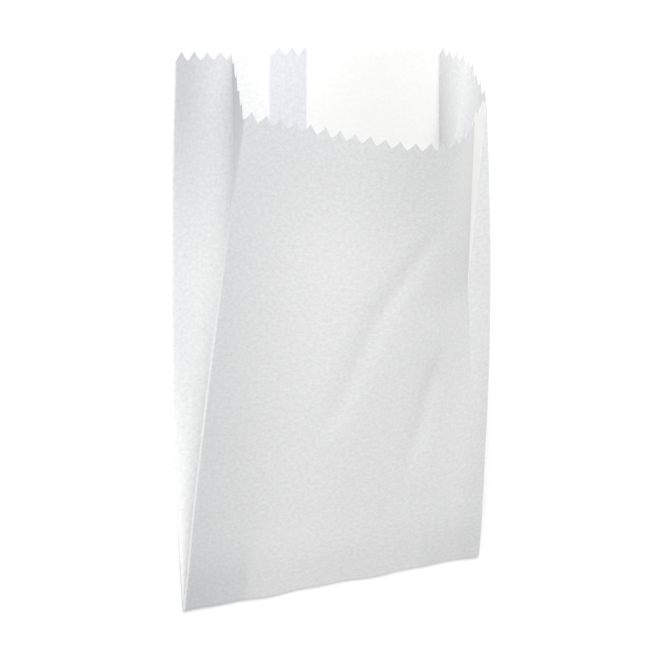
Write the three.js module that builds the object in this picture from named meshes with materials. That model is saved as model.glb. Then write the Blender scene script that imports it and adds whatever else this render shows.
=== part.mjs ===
// A grease-resistant paper bag: one sheet of thin white paper, folded into a tube with two side
// gussets, glued along a lengthwise seam, turned up and glued at the bottom, and cut at the mouth
// with a serrated knife. It lies on its back panel, mouth towards +Y, with the front panel sprung up.
import * as THREE from 'three';
import { mergeVertices } from 'three/addons/utils/BufferGeometryUtils.js';

// The flat bag, in millimetres.
const bagWidth = 150;
const bagLength = 280;
const gussetDepth = 31;

// The sheet. Real paper of this kind is about 0.06 mm; the wall is drawn thicker, to stay a sound solid.
const paperThickness = 0.4;
const layerGap = 0.25;

// The glued seam on the back panel, where the two edges of the blank overlap.
const seamStart = 55;
const seamWidth = 20.5;

// The bottom: the pressed end of the tube, and the flap that is turned up and glued to the back.
const pressedEnd = 1.5;
const flapHeight = 15;
const flapThickness = 0.9;
const flapSettling = 35;

// The serrated cut at the mouth.
const teethAcross = 21;
const toothHeight = 3.6;

// Where the folds and the front panel's guide lines end at the mouth of the opened bag. Each shift is
// measured from the place in the flat bag, and each rise is the height above the back panel.
const backLeftHead = { shift: 5, rise: 0, reach: 5 };
const leftCentreHead = { shift: -5.5, rise: 23, reach: 7 };
const frontLeftHead = { shift: 17.5, rise: 59, reach: -6 };
const frontCrestLeftHead = { shift: 32, rise: 105, reach: -17 };
const frontCrestRightHead = { shift: 2, rise: 131, reach: -21 };
const frontRightHead = { shift: -11.5, rise: 67, reach: -15 };
const rightCentreHead = { shift: 23.5, rise: 38, reach: -6 };
const backRightHead = { shift: -13.5, rise: 0, reach: -8 };

// How far each line bows away from straight at half its length.
const straight = { sideways: 0, up: 0 };
const backLeftBow = { sideways: -4.5, up: 0 };
const leftCentreBow = { sideways: 0, up: -1.4 };
const frontLeftBow = { sideways: -2.6, up: 0.3 };
const frontRightBow = { sideways: 2.2, up: 6.9 };
const rightCentreBow = { sideways: -8.3, up: 1.3 };
const backRightBow = { sideways: 3.3, up: 0 };

// The back panel's right side curls up off the table towards the mouth.
const curlHeight = 14;
const curlStart = 0.45;
const curlInnerEdge = 0.3;
const curlOuterEdge = 0.85;

// The front panel is pinched beside its right fold. This narrow strip leaves the panel's curve, and from
// the pinch's tip a diagonal crease runs up to the fold at the mouth. The vectors are measured from the fold.
const pinchedTeeth = 1.5;
const pinchTipShare = 0.62;
const pinchGuide = new THREE.Vector3(-10.9, 0.4, 5.5);
const pinchTip = new THREE.Vector3(-10.5, -2.4, -2.2);
const pinchHead = new THREE.Vector3(-7.6, -4.3, 6.7);

// How finely the sheet is divided along its length.
const bodyRows = 12;
const edgeStep = 0.3;
const same = 1e-6;
const sharpestMitre = 0.4;

const toothPitch = bagWidth / teethAcross;
const levelRise = paperThickness + layerGap;
const seamEnd = seamStart + seamWidth;
const pinchWidth = pinchedTeeth * toothPitch;
const pinchStart = bagWidth - pinchWidth;

// A line that runs up the sheet, from the bottom edge of the flat bag to the mouth of the opened one.
function makeLine(foot, head, bow) {
  return (v) => {
    const arch = 4 * v * (1 - v);
    return new THREE.Vector3(
      foot + head.shift * v + bow.sideways * arch,
      (bagLength + head.reach) * v,
      flapThickness * (1 - v) + head.rise * v + bow.up * arch,
    );
  };
}

const backLeft = makeLine(0, backLeftHead, backLeftBow);
const leftCentre = makeLine(gussetDepth, leftCentreHead, leftCentreBow);
const frontLeft = makeLine(0, frontLeftHead, frontLeftBow);
const frontCrestLeft = makeLine(bagWidth / 3, frontCrestLeftHead, straight);
const frontCrestRight = makeLine((bagWidth * 2) / 3, frontCrestRightHead, straight);
const frontRight = makeLine(bagWidth, frontRightHead, frontRightBow);
const rightCentre = makeLine(bagWidth - gussetDepth, rightCentreHead, rightCentreBow);
const backRight = makeLine(bagWidth, backRightHead, backRightBow);

// The height of the back panel over the table: it settles past the flap, and curls up at the right.
function backHeight(u, v) {
  const pastFlap = THREE.MathUtils.smoothstep(v * bagLength, flapHeight, flapHeight + flapSettling);
  const towardsMouth = Math.max(0, (v - curlStart) / (1 - curlStart));
  const towardsRight = THREE.MathUtils.smoothstep(u, curlInnerEdge, curlOuterEdge);
  return flapThickness * (1 - pastFlap) + curlHeight * towardsMouth ** 2 * towardsRight;
}

// The six faces of the bag. Each gives the point of the sheet at flat place x and share v of the length,
// and level counts the layers under it where the bag is pressed flat.
const faces = [
  { level: 1, from: 0, to: gussetDepth, at: (x, v) => gussetPoint(rest(backLeft, 0), leftCentre, x / gussetDepth, v) },
  { level: 2, from: gussetDepth, to: 0, at: (x, v) => gussetPoint(frontLeft, leftCentre, x / gussetDepth, v) },
  { level: 3, from: 0, to: bagWidth, at: frontPoint },
  { level: 2, from: bagWidth, to: bagWidth - gussetDepth,
    at: (x, v) => gussetPoint(frontRight, rightCentre, (bagWidth - x) / gussetDepth, v) },
  { level: 1, from: bagWidth - gussetDepth, to: bagWidth,
    at: (x, v) => gussetPoint(rest(backRight, 1), rightCentre, (bagWidth - x) / gussetDepth, v) },
  { level: 0, from: bagWidth, to: 0, at: backPoint },
];

// A back fold lies on the back panel, so it takes the panel's height.
function rest(line, u) {
  return (v) => line(v).setZ(backHeight(u, v));
}

function gussetPoint(fold, centre, share, v) {
  return fold(v).lerp(centre(v), share);
}

// The pinched strip's inner edge: curved up to the tip, then straight to the mouth.
function pinchInner(v) {
  if (v > pinchTipShare) {
    return pinchInner(pinchTipShare).lerp(frontRight(1).add(pinchHead), (v - pinchTipShare) / (1 - pinchTipShare));
  }
  const foot = new THREE.Vector3(-pinchWidth, 0, 0);
  const offset = new THREE.QuadraticBezierCurve3(foot, pinchGuide, pinchTip).getPoint(v / pinchTipShare);
  return frontRight(v).add(offset);
}

// A point of the pinched strip, at a share of its width. Above the tip, two flat facets meet at the crease.
function pinchPoint(share, v) {
  const q = Math.max(0, (v - pinchTipShare) / (1 - pinchTipShare));
  if (share >= q) {
    const onCrease = pinchInner(Math.min(v, pinchTipShare)).lerp(frontRight(1), q);
    return onCrease.lerp(frontRight(v), (share - q) / Math.max(1 - q, same));
  }
  return pinchInner(v).lerp(pinchInner(pinchTipShare).lerp(frontRight(1), q), share / q);
}

// The front panel is drawn over its two crest lines, and the paper keeps its width along the curve.
function frontPoint(x, v) {
  if (x > pinchStart - same) return pinchPoint((x - pinchStart) / pinchWidth, v);
  const crest = new THREE.CubicBezierCurve3(frontLeft(v), frontCrestLeft(v), frontCrestRight(v), pinchInner(v));
  return crest.getPointAt(x / pinchStart);
}

function backPoint(x, v) {
  const u = x / bagWidth;
  return backLeft(v).lerp(backRight(v), u).setZ(backHeight(u, v));
}

// The flat places where the sheet is divided: every tooth tip and root, the folds and the seam's edges.
function flatStations() {
  const places = [gussetDepth, bagWidth - gussetDepth];
  for (let k = 0; k <= 2 * teethAcross; k += 1) places.push((k * toothPitch) / 2);
  for (const edge of [seamStart, seamEnd]) places.push(edge - edgeStep, edge + edgeStep);
  places.sort((a, b) => a - b);
  return places.filter((place, i) => i === 0 || place - places[i - 1] > same);
}

// The columns run once round the bag, face by face, so each fold gets one column on either side of it.
function makeColumns(stations) {
  const columns = [];
  for (const face of faces) {
    const low = Math.min(face.from, face.to) - same;
    const high = Math.max(face.from, face.to) + same;
    const inFace = stations.filter((x) => x > low && x < high);
    if (face.from > face.to) inFace.reverse();
    for (const x of inFace) columns.push({ x, face });
  }
  return columns;
}

// The rows run up the sheet: pressed end, flap edge, body, and the line just under the teeth.
function makeRows() {
  const rows = [0, pressedEnd, flapHeight - edgeStep, flapHeight + edgeStep];
  const bodyStart = flapHeight + edgeStep;
  const bodyEnd = bagLength - toothHeight;
  for (let k = 1; k <= bodyRows; k += 1) rows.push(bodyStart + ((bodyEnd - bodyStart) * k) / bodyRows);
  return rows;
}

// The knife cuts every layer at once, so a tooth's height depends only on the place in the flat bag.
function toothRise(x) {
  const phase = x / toothPitch - Math.floor(x / toothPitch + same);
  return toothHeight * (1 - Math.abs(2 * phase - 1));
}

function sheetPoint(column, length) {
  const point = column.face.at(column.x, length / bagLength);
  point.z += column.face.level * levelRise + paperThickness / 2;
  return point;
}

function mouthPoint(column) {
  const root = sheetPoint(column, bagLength);
  const below = sheetPoint(column, bagLength - toothHeight);
  return root.clone().addScaledVector(root.clone().sub(below).normalize(), toothRise(column.x));
}

// The direction square to the sheet at one point, lengthened at a fold so that both walls keep their thickness.
function outwards(grid, r, c) {
  const row = grid[r];
  const here = row[c];
  const before = here.clone().sub(row[(c + row.length - 1) % row.length]);
  const after = row[(c + 1) % row.length].clone().sub(here);
  const up = grid[Math.min(r + 1, grid.length - 1)][c].clone().sub(grid[Math.max(r - 1, 0)][c]);
  const squareBefore = before.cross(up).normalize();
  const squareAfter = after.cross(up).normalize();
  const spread = Math.max(sharpestMitre, 1 + squareBefore.dot(squareAfter));
  return squareBefore.add(squareAfter).divideScalar(spread);
}

// Closes the pressed end of the tube: strips join the layers that lie on each other, from side to side.
function pressedEndFaces(columns, index) {
  const find = (level, x, right) => columns.findIndex((column) => column.face.level === level
    && Math.abs(column.x - x) < same && (level === 0 || level === 3 || (column.x > bagWidth / 2) === right));
  const stations = columns.filter((column) => column.face.level === 3).map((column) => column.x);
  const triangles = [];
  const quad = (a, b, c, d) => triangles.push([index(a), index(b), index(c)], [index(a), index(c), index(d)]);
  for (let i = 1; i < stations.length; i += 1) {
    const [x0, x1] = [stations[i - 1], stations[i]];
    const right = x0 > bagWidth / 2;
    const tucked = x1 < gussetDepth + same || x0 > bagWidth - gussetDepth - same;
    if (tucked) {
      quad(find(0, x0), find(0, x1), find(1, x1, right), find(1, x0, right));
      quad(find(2, x0, right), find(2, x1, right), find(3, x1), find(3, x0));
    } else {
      quad(find(0, x0), find(0, x1), find(3, x1), find(3, x0));
    }
  }
  // The end of each tuck stands between the two kinds of strip.
  for (const [x, right] of [[gussetDepth, false], [bagWidth - gussetDepth, true]]) {
    const ring = [find(0, x), find(3, x), find(2, x, right), find(1, x, right)].map(index);
    if (right) ring.reverse();
    triangles.push([ring[0], ring[1], ring[2]], [ring[0], ring[2], ring[3]]);
  }
  return triangles;
}

function makeBagGeometry() {
  const columns = makeColumns(flatStations());
  const rows = makeRows();
  const grid = rows.map((length) => columns.map((column) => sheetPoint(column, length)));
  grid.push(columns.map(mouthPoint));

  // Two skins, the outer one thicker at the flap and the inner one thicker at the seam.
  const positions = [];
  const skin = (side, r, c) => (side * grid.length + r) * columns.length + (c % columns.length);
  for (const side of [0, 1]) {
    for (let r = 0; r < grid.length; r += 1) {
      for (let c = 0; c < columns.length; c += 1) {
        const onBack = columns[c].face.level === 0;
        const onFlap = onBack && rows[r] < flapHeight;
        const onSeam = onBack && columns[c].x > seamStart && columns[c].x < seamEnd;
        const outerWall = paperThickness / 2 + (onFlap ? flapThickness : 0);
        const innerWall = paperThickness / 2 + (onSeam ? paperThickness : 0);
        const reach = side === 0 ? outerWall : -innerWall;
        const point = grid[r][c].clone().addScaledVector(outwards(grid, r, c), reach);
        positions.push(point.x, point.y, point.z);
      }
    }
  }

  const triangles = [];
  const quad = (a, b, c, d) => triangles.push([a, b, c], [a, c, d]);
  for (let c = 0; c < columns.length; c += 1) {
    for (let r = 0; r + 1 < grid.length; r += 1) {
      quad(skin(0, r, c), skin(0, r, c + 1), skin(0, r + 1, c + 1), skin(0, r + 1, c));
      if (r >= 1) quad(skin(1, r, c + 1), skin(1, r, c), skin(1, r + 1, c), skin(1, r + 1, c + 1));
    }
    const rim = grid.length - 1;
    quad(skin(0, rim, c), skin(0, rim, c + 1), skin(1, rim, c + 1), skin(1, rim, c));
  }
  triangles.push(...pressedEndFaces(columns, (c) => skin(0, 0, c)));
  triangles.push(...pressedEndFaces(columns, (c) => skin(1, 1, c)).map(([a, b, c]) => [c, b, a]));

  const geometry = new THREE.BufferGeometry();
  geometry.setAttribute('position', new THREE.Float32BufferAttribute(positions, 3));
  geometry.setIndex(triangles.flat());
  return mergeVertices(geometry.toNonIndexed());
}

const paper = new THREE.MeshStandardMaterial({ color: 0xf1f2f3, roughness: 0.8, metalness: 0 });

const bagGeometry = makeBagGeometry();
bagGeometry.computeBoundingBox();
const box = bagGeometry.boundingBox;
bagGeometry.translate(-(box.min.x + box.max.x) / 2, -(box.min.y + box.max.y) / 2, -box.min.z);
bagGeometry.computeVertexNormals();

const bag = new THREE.Mesh(bagGeometry, paper);
bag.name = 'paper_bag';

const group = new THREE.Group();
group.add(bag);

export default group;
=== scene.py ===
import math

import bmesh
import bpy
import numpy as np
from mathutils import Matrix, Vector


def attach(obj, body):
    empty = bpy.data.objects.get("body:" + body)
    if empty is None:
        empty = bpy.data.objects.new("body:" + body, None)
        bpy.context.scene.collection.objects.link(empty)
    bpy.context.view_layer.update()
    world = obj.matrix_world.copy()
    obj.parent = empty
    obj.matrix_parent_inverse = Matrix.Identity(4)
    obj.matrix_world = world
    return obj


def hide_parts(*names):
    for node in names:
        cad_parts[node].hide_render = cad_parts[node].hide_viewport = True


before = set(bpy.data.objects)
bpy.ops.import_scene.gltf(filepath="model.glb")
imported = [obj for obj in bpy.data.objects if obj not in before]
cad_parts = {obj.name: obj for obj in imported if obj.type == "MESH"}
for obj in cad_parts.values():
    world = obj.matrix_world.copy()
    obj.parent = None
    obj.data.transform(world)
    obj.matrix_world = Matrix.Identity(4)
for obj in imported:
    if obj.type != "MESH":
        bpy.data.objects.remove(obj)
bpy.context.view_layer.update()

scene = bpy.context.scene

# The bag is one blank of thin white greaseproof paper. A machine folds it into a flat tube with a
# tucked side at each edge, glues the seam down the back, cuts the tube off with a toothed knife,
# and turns the bottom end up and glues it. Lengths are in millimetres, and mm makes them metres.
bag_width, bag_length, gusset_depth = 150.0, 280.0, 31.0
seam_start, seam_end = 55.0, 75.5
flap_height, layer_pitch = 15.0, 0.2
teeth_across, tooth_height, tooth_root = 21, 5.1, 278.5
tooth_pitch = bag_width / teeth_across
mm = 0.001

# The grid on the flat bag: columns across it, and rows from the pressed bottom up to the teeth. No
# even step comes closer than least_step to a fold or a seam edge that lies between the steps.
columns_per_tooth, body_rows, body_start = 6, 96, 4.0
column_step = tooth_pitch / columns_per_tooth
least_step = 0.3
across = np.arange(teeth_across * columns_per_tooth + 1) * column_step
gusset_across = np.append(across[across < gusset_depth - least_step], gusset_depth)
seam_over = np.append(across[across < seam_end - least_step], seam_end)[::-1]
seam_under = np.append(across[across > seam_start + least_step][::-1], seam_start)
pressed_up = [0, 1, 2]
body_up = np.linspace(body_start, tooth_root - tooth_height, body_rows)
teeth_up = tooth_root - tooth_height * np.array([0.66, 0.33, 0.0])
open_up = np.concatenate([pressed_up, body_up, teeth_up])
open_share = open_up / bag_length


def fold_line(foot, shift, rise, reach, bow_sideways=0.0, bow_up=0.0):
    """One fold of the opened bag, from its foot on the bottom edge (v = 0) to the mouth (v = 1)."""
    def at(v):
        arch = 4 * v * (1 - v)
        x = foot + shift * v + bow_sideways * arch
        y = (bag_length + reach) * v
        z = rise * v + bow_up * arch
        return np.stack([x, y, z], -1)
    return at


left_spread, right_spread = 2.0, 1.3
left_foot, right_foot = -left_spread, bag_width + right_spread
back_left = fold_line(left_foot, shift=7, rise=0, reach=5, bow_sideways=-3.5)
left_centre = fold_line(left_foot + gusset_depth, shift=-3.5, rise=23, reach=11,
                        bow_sideways=1, bow_up=-1.4)
front_left = fold_line(left_foot, shift=19.5, rise=59, reach=-6, bow_sideways=-1.6, bow_up=0.3)
crest_left = fold_line(bag_width / 3, shift=32, rise=105, reach=-17)
crest_right = fold_line(bag_width * 2 / 3, shift=2, rise=131, reach=-21)
front_right = fold_line(right_foot, shift=-12.8, rise=67, reach=-15, bow_sideways=0.9, bow_up=6.9)
right_centre = fold_line(right_foot - gusset_depth, shift=21, rise=38, reach=-6,
                         bow_sideways=-8.3, bow_up=1.3)
back_right = fold_line(right_foot, shift=-16.3, rise=0, reach=-8, bow_sideways=-2.5)

# The back panel lies on the table and lifts off it only towards the mouth's right corner.
back_lift, lift_from, lift_left, lift_right = 14, 0.45, 0.3, 0.85


def smooth(value, low, high):
    """0 below low, 1 above high, and a soft step between them."""
    t = np.clip((value - low) / (high - low), 0, 1)
    return t * t * (3 - 2 * t)


def back_height(u, v):
    risen = np.maximum(0, (v - lift_from) / (1 - lift_from))
    return back_lift * risen ** 2 * smooth(u, lift_left, lift_right)


def back_fold(fold, u):
    point = fold(open_share)
    point[..., 2] = back_height(u, open_share)
    return point


def back_panel(x):
    u = (x / bag_width)[None, :]
    left, right = back_left(open_share)[:, None, :], back_right(open_share)[:, None, :]
    point = left * (1 - u[..., None]) + right * u[..., None]
    point[..., 2] = back_height(u, open_share[:, None])
    return point


def tucked_half(fold, centre, x):
    """Half of a tucked side is a flat strip between an outer fold (x = 0) and the centre fold."""
    share = (x / gusset_depth)[None, :, None]
    return fold[:, None, :] * (1 - share) + centre[:, None, :] * share


# Beside its right fold the front panel is pinched: a diagonal crease parts two flat facets.
pinch_width, pinch_tip_share = 1.5 * tooth_pitch, 0.62
pinch_foot = np.array([-pinch_width, 0.0, 0.0])
pinch_guide = np.array([-8.8, 0.4, 5.5])
pinch_tip = np.array([-11.0, -2.4, -2.2])
pinch_head = np.array([-8.8, -4.3, 6.7])
mouth_corner = front_right(np.array([1.0]))[0]
tiny = 1e-6


def above_tip(v):
    """0 up to the pinch's tip, and from there evenly up to 1 at the mouth."""
    return np.maximum(0, (v - pinch_tip_share) / (1 - pinch_tip_share))


def pinch_inner(v):
    t = np.minimum(v / pinch_tip_share, 1)[:, None]
    q = above_tip(v)[:, None]
    drawn_in = pinch_foot * (1 - t) ** 2 + 2 * pinch_guide * t * (1 - t) + pinch_tip * t ** 2
    low = front_right(np.minimum(v, pinch_tip_share)) + drawn_in
    return low * (1 - q) + (mouth_corner + pinch_head) * q


def pinch(x, v):
    share = ((x - bag_width) / pinch_width + 1)[None, :, None]
    q = above_tip(v)[:, None, None]
    tip = pinch_inner(np.minimum(v, pinch_tip_share))[:, None, :]
    crease = tip * (1 - q) + mouth_corner * q
    past_crease = np.clip((share - q) / np.maximum(1 - q, tiny), 0, 1)
    outer_facet = crease + (front_right(v)[:, None, :] - crease) * past_crease
    inner = pinch_inner(v)[:, None, :]
    inner_facet = inner + (crease - inner) * share / np.maximum(q, tiny)
    return np.where(share >= q, outer_facet, inner_facet)


# The front panel bulges over two crest lines, and the paper keeps its width along the curve.
curve_steps = 300


def front_panel(x, v):
    guides = (front_left, crest_left, crest_right, pinch_inner)
    p0, p1, p2, p3 = (guide(v)[:, None, :] for guide in guides)
    t = np.linspace(0, 1, curve_steps + 1)[None, :, None]
    curves = p0 * (1 - t) ** 3 + 3 * p1 * t * (1 - t) ** 2 + 3 * p2 * t ** 2 * (1 - t) + p3 * t ** 3
    steps = np.linalg.norm(np.diff(curves, axis=1), axis=2)
    lengths = np.concatenate([np.zeros((len(v), 1)), np.cumsum(steps, 1)], 1)
    shares = lengths / lengths[:, -1:]
    unpinched = x <= bag_width - pinch_width + tiny
    wanted = x[unpinched] / (bag_width - pinch_width)
    curved = np.array([[np.interp(wanted, share, curve[:, axis]) for axis in range(3)]
                       for share, curve in zip(shares, curves)])
    return np.concatenate([curved.transpose(0, 2, 1), pinch(x[~unpinched], v)], 1)


# Soft folds run over the front panel: their places on the flat bag, how far each stands off, and
# its half width. Each fades out towards both ends.
long_fold = ((112, 238), (96, 212), (79.5, 172), (66, 112), (58, 88))
short_fold = ((116, 150), (112, 110), (107, 55))
fine_crease = ((103, 86), (107.5, 36))
side_ridge = ((145.5, 150), (146, 20))
soft_folds = ((long_fold, -1.5, 6), (short_fold, -2.2, 5), (fine_crease, -0.6, 1.8), (side_ridge, 0.4, 3))


def soft_fold_height(x, y):
    lift = np.zeros(np.broadcast(x, y).shape)
    for places, height, half_width in soft_folds:
        nearest = np.full(lift.shape, np.inf)
        reached = np.zeros(lift.shape)
        for part, ((x0, y0), (x1, y1)) in enumerate(zip(places, places[1:])):
            run = np.hypot(x1 - x0, y1 - y0)
            t = np.clip(((x - x0) * (x1 - x0) + (y - y0) * (y1 - y0)) / run ** 2, 0, 1)
            away = np.hypot(x - x0 - t * (x1 - x0), y - y0 - t * (y1 - y0))
            reached = np.where(away < nearest, (part + t) / (len(places) - 1), reached)
            nearest = np.minimum(nearest, away)
        ends = smooth(reached, 0, 0.4) * (1 - smooth(reached, 0.6, 1))
        lift = lift + height * np.exp(-(nearest / half_width) ** 2) * ends
    return lift


# The blank runs once round the bag, from the seam's inner edge to the end that lies under the seam.
# Each stretch has the number of layers that lie between it and the table in the pressed bag.
under_seam, on_back, lower_half, upper_half, on_front = 0.0, 1.0, 2.0, 3.0, 4.0
left_fold, right_fold = back_fold(back_left, 0.0), back_fold(back_right, 1.0)
left_tuck, right_tuck = left_centre(open_share), right_centre(open_share)
inwards, outwards = gusset_across, gusset_across[::-1]
stretches = [
    (seam_over, on_back, back_panel(seam_over)),
    (inwards, lower_half, tucked_half(left_fold, left_tuck, inwards)),
    (outwards, upper_half, tucked_half(front_left(open_share), left_tuck, outwards)),
    (across, on_front, front_panel(across, open_share)),
    (bag_width - inwards, upper_half, tucked_half(front_right(open_share), right_tuck, inwards)),
    (bag_width - outwards, lower_half, tucked_half(right_fold, right_tuck, outwards)),
    (seam_under, under_seam, back_panel(seam_under)),
]
flat_x, layer, grid = [], [], []
for number, (columns_at, layers_below, paper_points) in enumerate(stretches):
    new = slice(0 if number == 0 else 1, None)
    flat_x.append(columns_at[new])
    layer.append(np.full(len(columns_at[new]), layers_below))
    grid.append(paper_points[:, new])
flat_x, layer, grid = np.concatenate(flat_x), np.concatenate(layer), np.concatenate(grid, 1)
front_columns, back_columns = layer == on_front, layer <= on_back
lower_columns, upper_columns = layer == lower_half, layer == upper_half

# At the bottom the layers are pressed onto each other, and all of them turn under the back panel.
layers_in_all, settling = 5, 35
turned = layers_in_all * layer_pitch
pressed = 1 - smooth(open_up, flap_height, flap_height + settling)
grid[..., 2] += layer[None, :] * layer_pitch + turned * pressed[:, None]
under_up = np.array([-flap_height, -flap_height * 0.5, -1.0])
turns = np.radians([-180, -135, -90, -45])
turned_rows = []
for up in under_up:
    row = grid[0].copy()
    row[:, 1] = -up
    row[:, 2] = turned - (layer + 1) * layer_pitch
    turned_rows.append(row)
for turn in turns:
    row = grid[0].copy()
    radius = (layer + 0.5) * layer_pitch
    row[:, 1] = radius * np.sin(turn)
    row[:, 2] = turned - layer_pitch / 2 + radius * np.cos(turn)
    turned_rows.append(row)
folds_from, folds_full = 3, 30
fold_height = soft_fold_height(flat_x[None, front_columns], open_up[:, None])
grid[:, front_columns, 2] += fold_height * smooth(open_up, folds_from, folds_full)[:, None]
grid = np.concatenate([np.stack(turned_rows), grid])
flat_y = np.concatenate([under_up, np.zeros(len(turns)), open_up])
rows, columns = grid.shape[:2]

# The bottom was folded over a little askew and not quite straight. Then the sheet is moved to the
# shared frame, whose origin is on the table under the middle of the bag's box.
askew, askew_fades, waves_fade = 2.0, 60, 30
long_wave, long_wave_size, short_wave, short_wave_size = 0.35, 9, 0.25, 4.3
frame_origin, above_table = np.array([74.2766, 145.0673, 0.0]), 0.1
grid[..., 1] += askew * grid[..., 0] / bag_width * (1 - smooth(flat_y, 0, askew_fades)[:, None])
waves = long_wave * np.sin(grid[..., 0] / long_wave_size)
waves += short_wave * np.sin(grid[..., 0] / short_wave_size + 1)
grid[..., 1] += waves * (1 - smooth(flat_y, 0, waves_fade)[:, None])
grid -= frame_origin
grid[..., 2] += above_table

blank_mesh = bpy.data.meshes.new("bag_blank")
index = np.arange(rows * columns).reshape(rows, columns)
quads = np.stack([index[:-1, :-1], index[:-1, 1:], index[1:, 1:], index[1:, :-1]], -1)
blank_mesh.from_pydata((grid.reshape(-1, 3) * mm).tolist(), [], quads.reshape(-1, 4).tolist())
blank_mesh.update()


def keep_on_sheet(name, values):
    """Keeps one number for each point of the sheet, or one direction where values has three."""
    kind, field = ("FLOAT_VECTOR", "vector") if values.ndim == 3 else ("FLOAT", "value")
    values = np.broadcast_to(values, (rows, columns) + values.shape[2:])
    attribute = blank_mesh.attributes.new(name, kind, "POINT")
    attribute.data.foreach_set(field, values.reshape(-1).astype(np.float32))


# What the knife and the cockle need: which way each point's tooth grows, how far into the toothed
# rim it is, and how free the paper is there. On three of the gussets' four halves the teeth lean
# to the side less than the paper does. The paper is tight near the bottom and the back's folds,
# and where it lies on the table.
lean_lost_right, lean_lost_left = 0.8, 1.5
loose_from, loose_full, tight_beside_fold = 5, 90, 18
tight_lift, loose_lift = 0.3, 4
along = np.zeros_like(grid)
along[1:-1] = grid[2:] - grid[:-2]
along[-1] = grid[-1] - grid[-2]
along[0] = grid[1] - grid[0]
right_gusset = (lower_columns | upper_columns) & (flat_x > bag_width / 2)
left_upper_half = upper_columns & (flat_x < bag_width / 2)
along[..., 0] *= 1 - lean_lost_right * right_gusset - lean_lost_left * left_upper_half
along /= np.linalg.norm(along, axis=2, keepdims=True)
from_fold = np.minimum(flat_x, bag_width - flat_x)[None, :]
x, y = flat_x[None, :], flat_y[:, None]
loose_on_back = smooth(back_height(x / bag_width, y / bag_length), tight_lift, loose_lift)
loose_in_gusset = np.where(lower_columns, smooth(from_fold, 0, tight_beside_fold), 1.0)
looseness = np.where(back_columns, loose_on_back, loose_in_gusset)
keep_on_sheet("along", along)
keep_on_sheet("flat_x", x)
keep_on_sheet("rim", np.clip((y - tooth_root) / tooth_height + 1, 0, 1))
keep_on_sheet("loose", smooth(y, loose_from, loose_full) * looseness)

# Light comes through thin paper, so a single layer looks whiter and layers that lie on each other
# look greyer. Painted tints stand in for that light and shade, and more painted shade darkens the
# front towards its left fold, under the teeth and on its right part, the gussets and the back's
# left side. Each line has a strength, and where it is on the flat bag. A gusset's edge is painted
# as a shade line on the front that blurs further up, where the layers part.
on_seam = back_columns & (flat_x >= seam_start) & (flat_x <= seam_end)
left_side = x < bag_width / 2
near_mouth = smooth(y, 190, 275)
near_bottom = 1 - smooth(y, 0, 60)
blur = 0.8 + np.maximum(y, 0) / 10
over_gusset = 1 - smooth(from_fold, gusset_depth - blur, gusset_depth + blur)
all_over = 0.14 + 0.08 * near_bottom
under_teeth = 0.28 * near_mouth * (1 - 0.85 * smooth(x, 80, 120))
gusset_edge_shade = np.where(left_side, 0.14, 0.08) * near_bottom * over_gusset
towards_left_fold = (0.54 - 0.28 * near_mouth) * (1 - smooth(x, -10, 62))
right_part = smooth(x, 85, 125) * smooth(y, 80, 150) * (1 - near_mouth)
right_shade = 0.13 * np.maximum(right_part, smooth(x, 132, 146))
front_shade = all_over + under_teeth + gusset_edge_shade + towards_left_fold + right_shade
upper_part = smooth(y, 150, 275)
lower_half_shade = 0.6 * upper_part * (1 - 0.2 * smooth(x, 4, 27))
lower_half_shade = lower_half_shade + 0.42 * smooth(y, 50, 160) * (1 - 0.9 * smooth(x, 2, 27))
outer_edge = smooth(y, 50, 130) * (1 - smooth(y, 110, 230)) * (1 - smooth(x, 0, 14))
lower_half_shade = lower_half_shade + 0.14 * outer_edge
left_gusset_shade = lower_half_shade * lower_columns + upper_part * upper_columns
right_gusset_shade = 0.17 * (lower_columns | upper_columns)
back_shade = 0.1 * (1 - smooth(x, 20, 60))
shade = front_shade * front_columns + back_shade * back_columns
shade = shade + np.where(left_side, left_gusset_shade, right_gusset_shade)
# The painted tints kept on the sheet: painted shade on the seam, painted light on the back's single
# layer, and the painted shade above.
keep_on_sheet("seam_painted_shade", on_seam[None, :].astype(float))
keep_on_sheet("painted_light", 0.6 * (back_columns & ~on_seam) * smooth(x, 20, 80))
keep_on_sheet("show_through", shade)

# The flat sheet's own lay, in metres, is its UV map.
sheet_x = np.concatenate([[0], np.cumsum(np.abs(np.diff(flat_x)))])
flat_sheet = np.stack(np.broadcast_arrays(sheet_x[None, :], y), -1).reshape(-1, 2) * mm
loop_points = np.zeros(len(blank_mesh.loops), np.int32)
blank_mesh.loops.foreach_get("vertex_index", loop_points)
sheet_map = blank_mesh.uv_layers.new(name="sheet")
sheet_map.data.foreach_set("uv", flat_sheet[loop_points].reshape(-1).astype(np.float32))

# The paper's finish: matt, faintly cloudy, and tinted with the painted shade and painted light above.
cloud_scale, cloud_detail, cloud_roughness = 520.0, 4.0, 0.65
cloud_least, cloud_most = 0.3, 0.7
cloud_white, clear_white = (0.85, 0.853, 0.858, 1), (0.99, 0.99, 0.99, 1)
seam_painted_tint, painted_shade_tint = (0.86, 0.872, 0.915, 1), (0.6, 0.603, 0.615, 1)
painted_light_white = (0.99, 0.988, 0.972, 1)
paper_roughness, paper_shine, light_let_through = 0.6, 0.3, 0.12
paper = bpy.data.materials.new("thin_white_paper")
paper.use_nodes = True
paper_tree = paper.node_tree


def math_node(tree, operation, first, second):
    """A sum worked out from two values. Each is a plain number or another node's output."""
    node = tree.nodes.new("ShaderNodeMath")
    node.operation = operation
    for socket, value in zip(node.inputs, (first, second)):
        if isinstance(value, float):
            socket.default_value = value
        else:
            tree.links.new(value, socket)
    return node.outputs["Value"]


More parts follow.
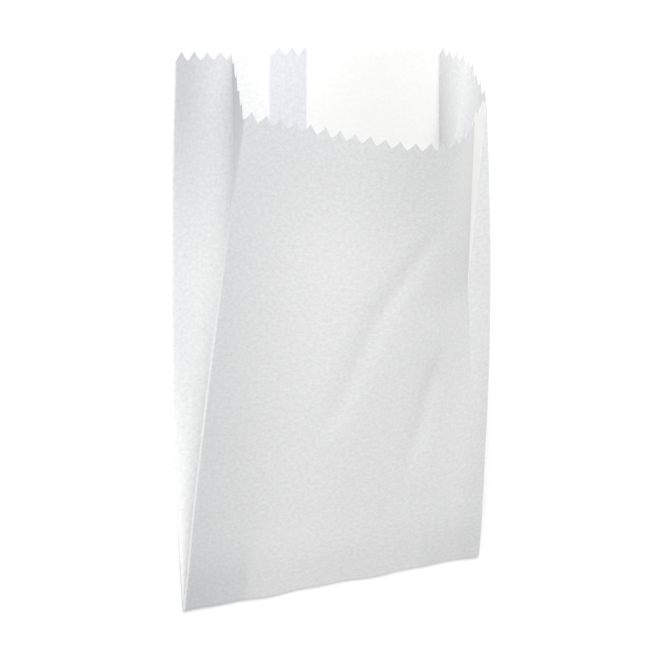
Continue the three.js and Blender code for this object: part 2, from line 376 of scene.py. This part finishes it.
def colour_mix(factor, first, second, blend="MIX"):
    """The second colour over the first. Each is a plain colour or another node's output."""
    node = paper_tree.nodes.new("ShaderNodeMix")
    node.data_type, node.blend_type = "RGBA", blend
    paper_tree.links.new(factor, node.inputs["Factor"])
    for name, colour in (("A", first), ("B", second)):
        if isinstance(colour, tuple):
            node.inputs[name].default_value = colour
        else:
            paper_tree.links.new(colour, node.inputs[name])
    return node.outputs["Result"]


def kept_value(name):
    node = paper_tree.nodes.new("ShaderNodeAttribute")
    node.attribute_name = name
    return node.outputs["Fac"]


sheet_place = paper_tree.nodes.new("ShaderNodeUVMap")
sheet_place.uv_map = "sheet"
clouds = paper_tree.nodes.new("ShaderNodeTexNoise")
clouds.inputs["Scale"].default_value = cloud_scale
clouds.inputs["Detail"].default_value = cloud_detail
clouds.inputs["Roughness"].default_value = cloud_roughness
paper_tree.links.new(sheet_place.outputs["UV"], clouds.inputs["Vector"])
cloud_range = paper_tree.nodes.new("ShaderNodeMapRange")
cloud_range.inputs["From Min"].default_value = cloud_least
cloud_range.inputs["From Max"].default_value = cloud_most
paper_tree.links.new(clouds.outputs["Fac"], cloud_range.inputs["Value"])

# The inner facet of the pinch is found on the flat sheet: right of the line where the pinch starts
# and above the diagonal crease. There the paper is a single layer, and the facet is painted whiter
# with no painted shade, a painted highlight.
corner_u = float(sheet_x[front_columns & (flat_x == bag_width)][0]) * mm
facet_width = pinch_width * mm
facet_foot, facet_height = pinch_tip_share * bag_length * mm, (1 - pinch_tip_share) * bag_length * mm
split = paper_tree.nodes.new("ShaderNodeSeparateXYZ")
paper_tree.links.new(sheet_place.outputs["UV"], split.inputs["Vector"])
from_start = math_node(paper_tree, "SUBTRACT", split.outputs["X"], corner_u - facet_width)
from_start = math_node(paper_tree, "DIVIDE", from_start, facet_width)
risen = math_node(paper_tree, "SUBTRACT", split.outputs["Y"], facet_foot)
risen = math_node(paper_tree, "DIVIDE", risen, facet_height)
right_of_start = math_node(paper_tree, "GREATER_THAN", from_start, 0.0)
above_crease = math_node(paper_tree, "GREATER_THAN", risen, from_start)
on_facet = math_node(paper_tree, "MULTIPLY", right_of_start, above_crease)
off_facet = math_node(paper_tree, "SUBTRACT", 1.0, on_facet)
painted_shade_weight = math_node(paper_tree, "MULTIPLY", kept_value("show_through"), off_facet)
painted_light_weight = math_node(paper_tree, "MAXIMUM", on_facet, kept_value("painted_light"))

colour = colour_mix(cloud_range.outputs["Result"], cloud_white, clear_white)
# Painted shade: the seam's double layer is tinted greyer and bluer.
colour = colour_mix(kept_value("seam_painted_shade"), colour, seam_painted_tint, "MULTIPLY")
# Painted shade on the front, the gussets and the back.
colour = colour_mix(painted_shade_weight, colour, painted_shade_tint, "MULTIPLY")
# Painted light: the back's single layer and the pinch's inner facet are painted whiter.
colour = colour_mix(painted_light_weight, colour, painted_light_white)
surface = paper_tree.nodes["Principled BSDF"]
surface.inputs["Roughness"].default_value = paper_roughness
surface.inputs["Specular IOR Level"].default_value = paper_shine
paper_tree.links.new(colour, surface.inputs["Base Color"])
light_through = paper_tree.nodes.new("ShaderNodeBsdfTranslucent")
paper_tree.links.new(colour, light_through.inputs["Color"])
sheet_look = paper_tree.nodes.new("ShaderNodeMixShader")
sheet_look.inputs["Fac"].default_value = light_let_through
paper_tree.links.new(surface.outputs["BSDF"], sheet_look.inputs[1])
paper_tree.links.new(light_through.outputs["BSDF"], sheet_look.inputs[2])
paper_tree.links.new(sheet_look.outputs["Shader"], paper_tree.nodes["Material Output"].inputs["Surface"])

# The toothed cut and the paper's slight cockle follow one rule over the whole blank. Heights are
# in metres, and the pitch is in millimetres, as the places kept on the sheet are.
cut = bpy.data.node_groups.new("toothed_cut_and_cockle", "GeometryNodeTree")
cut.interface.new_socket("Geometry", in_out="INPUT", socket_type="NodeSocketGeometry")
cut_sizes = {"Tooth pitch": tooth_pitch, "Tooth height": tooth_height * mm, "Tooth curve": 1.25,
             "Wear marks per metre": 120.0, "Wear amount": 0.5, "Least tooth": 0.72,
             "Cockle height": 0.4 * mm, "Cockles per metre": 14.0, "Seed": 7.0}
sockets = {}
for name in cut_sizes:
    socket = cut.interface.new_socket(name, in_out="INPUT", socket_type="NodeSocketFloat")
    sockets[name] = socket.identifier
socket = cut.interface.new_socket("Paper", in_out="INPUT", socket_type="NodeSocketMaterial")
sockets["Paper"] = socket.identifier
cut.interface.new_socket("Geometry", in_out="OUTPUT", socket_type="NodeSocketGeometry")
given, result = cut.nodes.new("NodeGroupInput"), cut.nodes.new("NodeGroupOutput")


def read_sheet(name, kind="FLOAT"):
    node = cut.nodes.new("GeometryNodeInputNamedAttribute")
    node.data_type = kind
    node.inputs["Name"].default_value = name
    return node.outputs["Attribute"]


def scaled(direction, length):
    node = cut.nodes.new("ShaderNodeVectorMath")
    node.operation = "SCALE"
    cut.links.new(direction, node.inputs[0])
    cut.links.new(length, node.inputs["Scale"])
    return node.outputs["Vector"]


tooth = math_node(cut, "DIVIDE", read_sheet("flat_x"), given.outputs["Tooth pitch"])
tooth = math_node(cut, "PINGPONG", tooth, 0.5)
tooth = math_node(cut, "MULTIPLY", tooth, 2.0)
tooth = math_node(cut, "POWER", tooth, given.outputs["Tooth curve"])
tooth = math_node(cut, "MULTIPLY", tooth, given.outputs["Tooth height"])
tooth = math_node(cut, "MULTIPLY", tooth, read_sheet("rim"))
wear_noise = cut.nodes.new("ShaderNodeTexNoise")
cut.links.new(given.outputs["Wear marks per metre"], wear_noise.inputs["Scale"])
wear_noise.inputs["Detail"].default_value = 0.0
wear = math_node(cut, "MULTIPLY", wear_noise.outputs[0], given.outputs["Wear amount"])
wear = math_node(cut, "ADD", wear, given.outputs["Least tooth"])
tooth = math_node(cut, "MULTIPLY", tooth, wear)
cockle_noise = cut.nodes.new("ShaderNodeTexNoise")
cockle_noise.noise_dimensions = "4D"
cut.links.new(given.outputs["Cockles per metre"], cockle_noise.inputs["Scale"])
cut.links.new(given.outputs["Seed"], cockle_noise.inputs["W"])
cockle_noise.inputs["Detail"].default_value = 1.0
cockle = math_node(cut, "SUBTRACT", cockle_noise.outputs[0], 0.5)
cockle = math_node(cut, "MULTIPLY", cockle, given.outputs["Cockle height"])
cockle = math_node(cut, "MULTIPLY", cockle, 2.0)
cockle = math_node(cut, "MULTIPLY", cockle, read_sheet("loose"))
facing = cut.nodes.new("GeometryNodeInputNormal")
total = cut.nodes.new("ShaderNodeVectorMath")
cut.links.new(scaled(read_sheet("along", "FLOAT_VECTOR"), tooth), total.inputs[0])
cut.links.new(scaled(facing.outputs["Normal"], cockle), total.inputs[1])
move = cut.nodes.new("GeometryNodeSetPosition")
cut.links.new(given.outputs["Geometry"], move.inputs["Geometry"])
cut.links.new(total.outputs["Vector"], move.inputs["Offset"])
realize = cut.nodes.new("GeometryNodeRealizeInstances")
cut.links.new(move.outputs["Geometry"], realize.inputs["Geometry"])
coat = cut.nodes.new("GeometryNodeSetMaterial")
cut.links.new(realize.outputs["Geometry"], coat.inputs["Geometry"])
cut.links.new(given.outputs["Paper"], coat.inputs["Material"])
cut.links.new(coat.outputs["Geometry"], result.inputs["Geometry"])


def made_plain(thing):
    """A plain mesh of the object as its modifiers show it."""
    return bpy.data.meshes.new_from_object(thing.evaluated_get(bpy.context.evaluated_depsgraph_get()))


blank = bpy.data.objects.new("bag_blank", blank_mesh)
scene.collection.objects.link(blank)
knife = blank.modifiers.new("toothed_cut_and_cockle", "NODES")
knife.node_group = cut
for name, size in cut_sizes.items():
    knife[sockets[name]] = size
knife[sockets["Paper"]] = paper
cut_sheet = made_plain(blank)
bpy.data.objects.remove(blank)

# No paper is below the table. The sheet then gets its thickness, and only true folds stay sharp.
paper_thickness, least_height, sharp_from = 0.07, 0.05, math.radians(10)
points = np.zeros(len(cut_sheet.vertices) * 3, np.float32)
cut_sheet.vertices.foreach_get("co", points)
points[2::3] = np.maximum(points[2::3], least_height * mm)
cut_sheet.vertices.foreach_set("co", points)
bag = bpy.data.objects.new("bag_paper", cut_sheet)
scene.collection.objects.link(bag)
wall = bag.modifiers.new("wall", "SOLIDIFY")
wall.thickness = paper_thickness * mm
wall.offset = 0.0
bag_mesh = made_plain(bag)
bag.modifiers.remove(wall)
bag.data = bag_mesh
form = bmesh.new()
form.from_mesh(bag_mesh)
for edge in form.edges:
    edge.smooth = edge.calc_face_angle(0.0) < sharp_from
for face in form.faces:
    face.smooth = True
form.to_mesh(bag_mesh)
form.free()
bag_mesh.name = "bag_paper"
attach(bag, "root")
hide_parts("paper_bag")

# The studio's floor is one large sheet of matt white board. The bag lies on it on its back panel,
# and the board is wide enough to fill the picture. Lengths from here on are in metres.
floor_reach, board_white, board_roughness = 30.0, (0.95, 0.95, 0.95, 1), 0.9
floor_corners = [(-floor_reach, -floor_reach, 0), (floor_reach, -floor_reach, 0),
                 (floor_reach, floor_reach, 0), (-floor_reach, floor_reach, 0)]
floor_mesh = bpy.data.meshes.new("floor")
floor_mesh.from_pydata(floor_corners, [], [(0, 1, 2, 3)])
board = bpy.data.materials.new("matt_white_board")
board.use_nodes = True
board_surface = board.node_tree.nodes["Principled BSDF"]
board_surface.inputs["Base Color"].default_value = board_white
board_surface.inputs["Roughness"].default_value = board_roughness
floor_mesh.materials.append(board)
floor = bpy.data.objects.new("floor", floor_mesh)
scene.collection.objects.link(floor)

# The light is plain and soft. The white room gives an even light from all round, a large square
# lamp stands over the mouth's side, and a lower one lights the inside through the mouth.
room_level = 0.68
lamps = (("key", (-0.3, 2.9, 2.75), 2.0, 115.0), ("low_fill", (-0.8, 3.7, 0.85), 2.0, 88.0))
room = bpy.data.worlds.new("studio")
room.use_nodes = True
room_light = room.node_tree.nodes["Background"]
room_light.inputs["Color"].default_value = (1, 1, 1, 1)
room_light.inputs["Strength"].default_value = room_level
scene.world = room
for name, place, size, watts in lamps:
    lamp_data = bpy.data.lights.new(name, "AREA")
    lamp_data.shape = "SQUARE"
    lamp_data.size = size
    lamp_data.energy = watts
    lamp = bpy.data.objects.new(name, lamp_data)
    scene.collection.objects.link(lamp)
    lamp.location = place
    lamp.rotation_mode = "QUATERNION"
    lamp.rotation_quaternion = Vector(place).to_track_quat("Z", "Y")
scene.view_settings.view_transform = "Standard"

# The camera looks down on the lying bag from its mouth's side, a little from the left. It stands
# far off with a long lens, so that the bag's edges stay nearly parallel.
camera_distance, view_width, sensor_width = 10.0, 0.3185, 36.0
aim_right, aim_down = 0.0042, 0.0071
towards_camera = Vector((-0.3163, 0.3763, 0.8709)).normalized()
roughly_up = Vector((0.1618, 0.9259, -0.3413))
camera_right = roughly_up.cross(towards_camera).normalized()
camera_up = towards_camera.cross(camera_right).normalized()
aim = Vector((0.0007, -0.0051, 0.0)) + camera_right * aim_right - camera_up * aim_down
camera_turn = Matrix((camera_right, camera_up, towards_camera)).transposed().to_4x4()
camera_data = bpy.data.cameras.new("camera")
camera_data.sensor_width = sensor_width
camera_data.lens = sensor_width * camera_distance / view_width
camera_data.clip_start, camera_data.clip_end = 0.1, 60.0
camera = bpy.data.objects.new("camera", camera_data)
scene.collection.objects.link(camera)
camera.matrix_world = Matrix.Translation(aim + towards_camera * camera_distance) @ camera_turn
scene.camera = camera
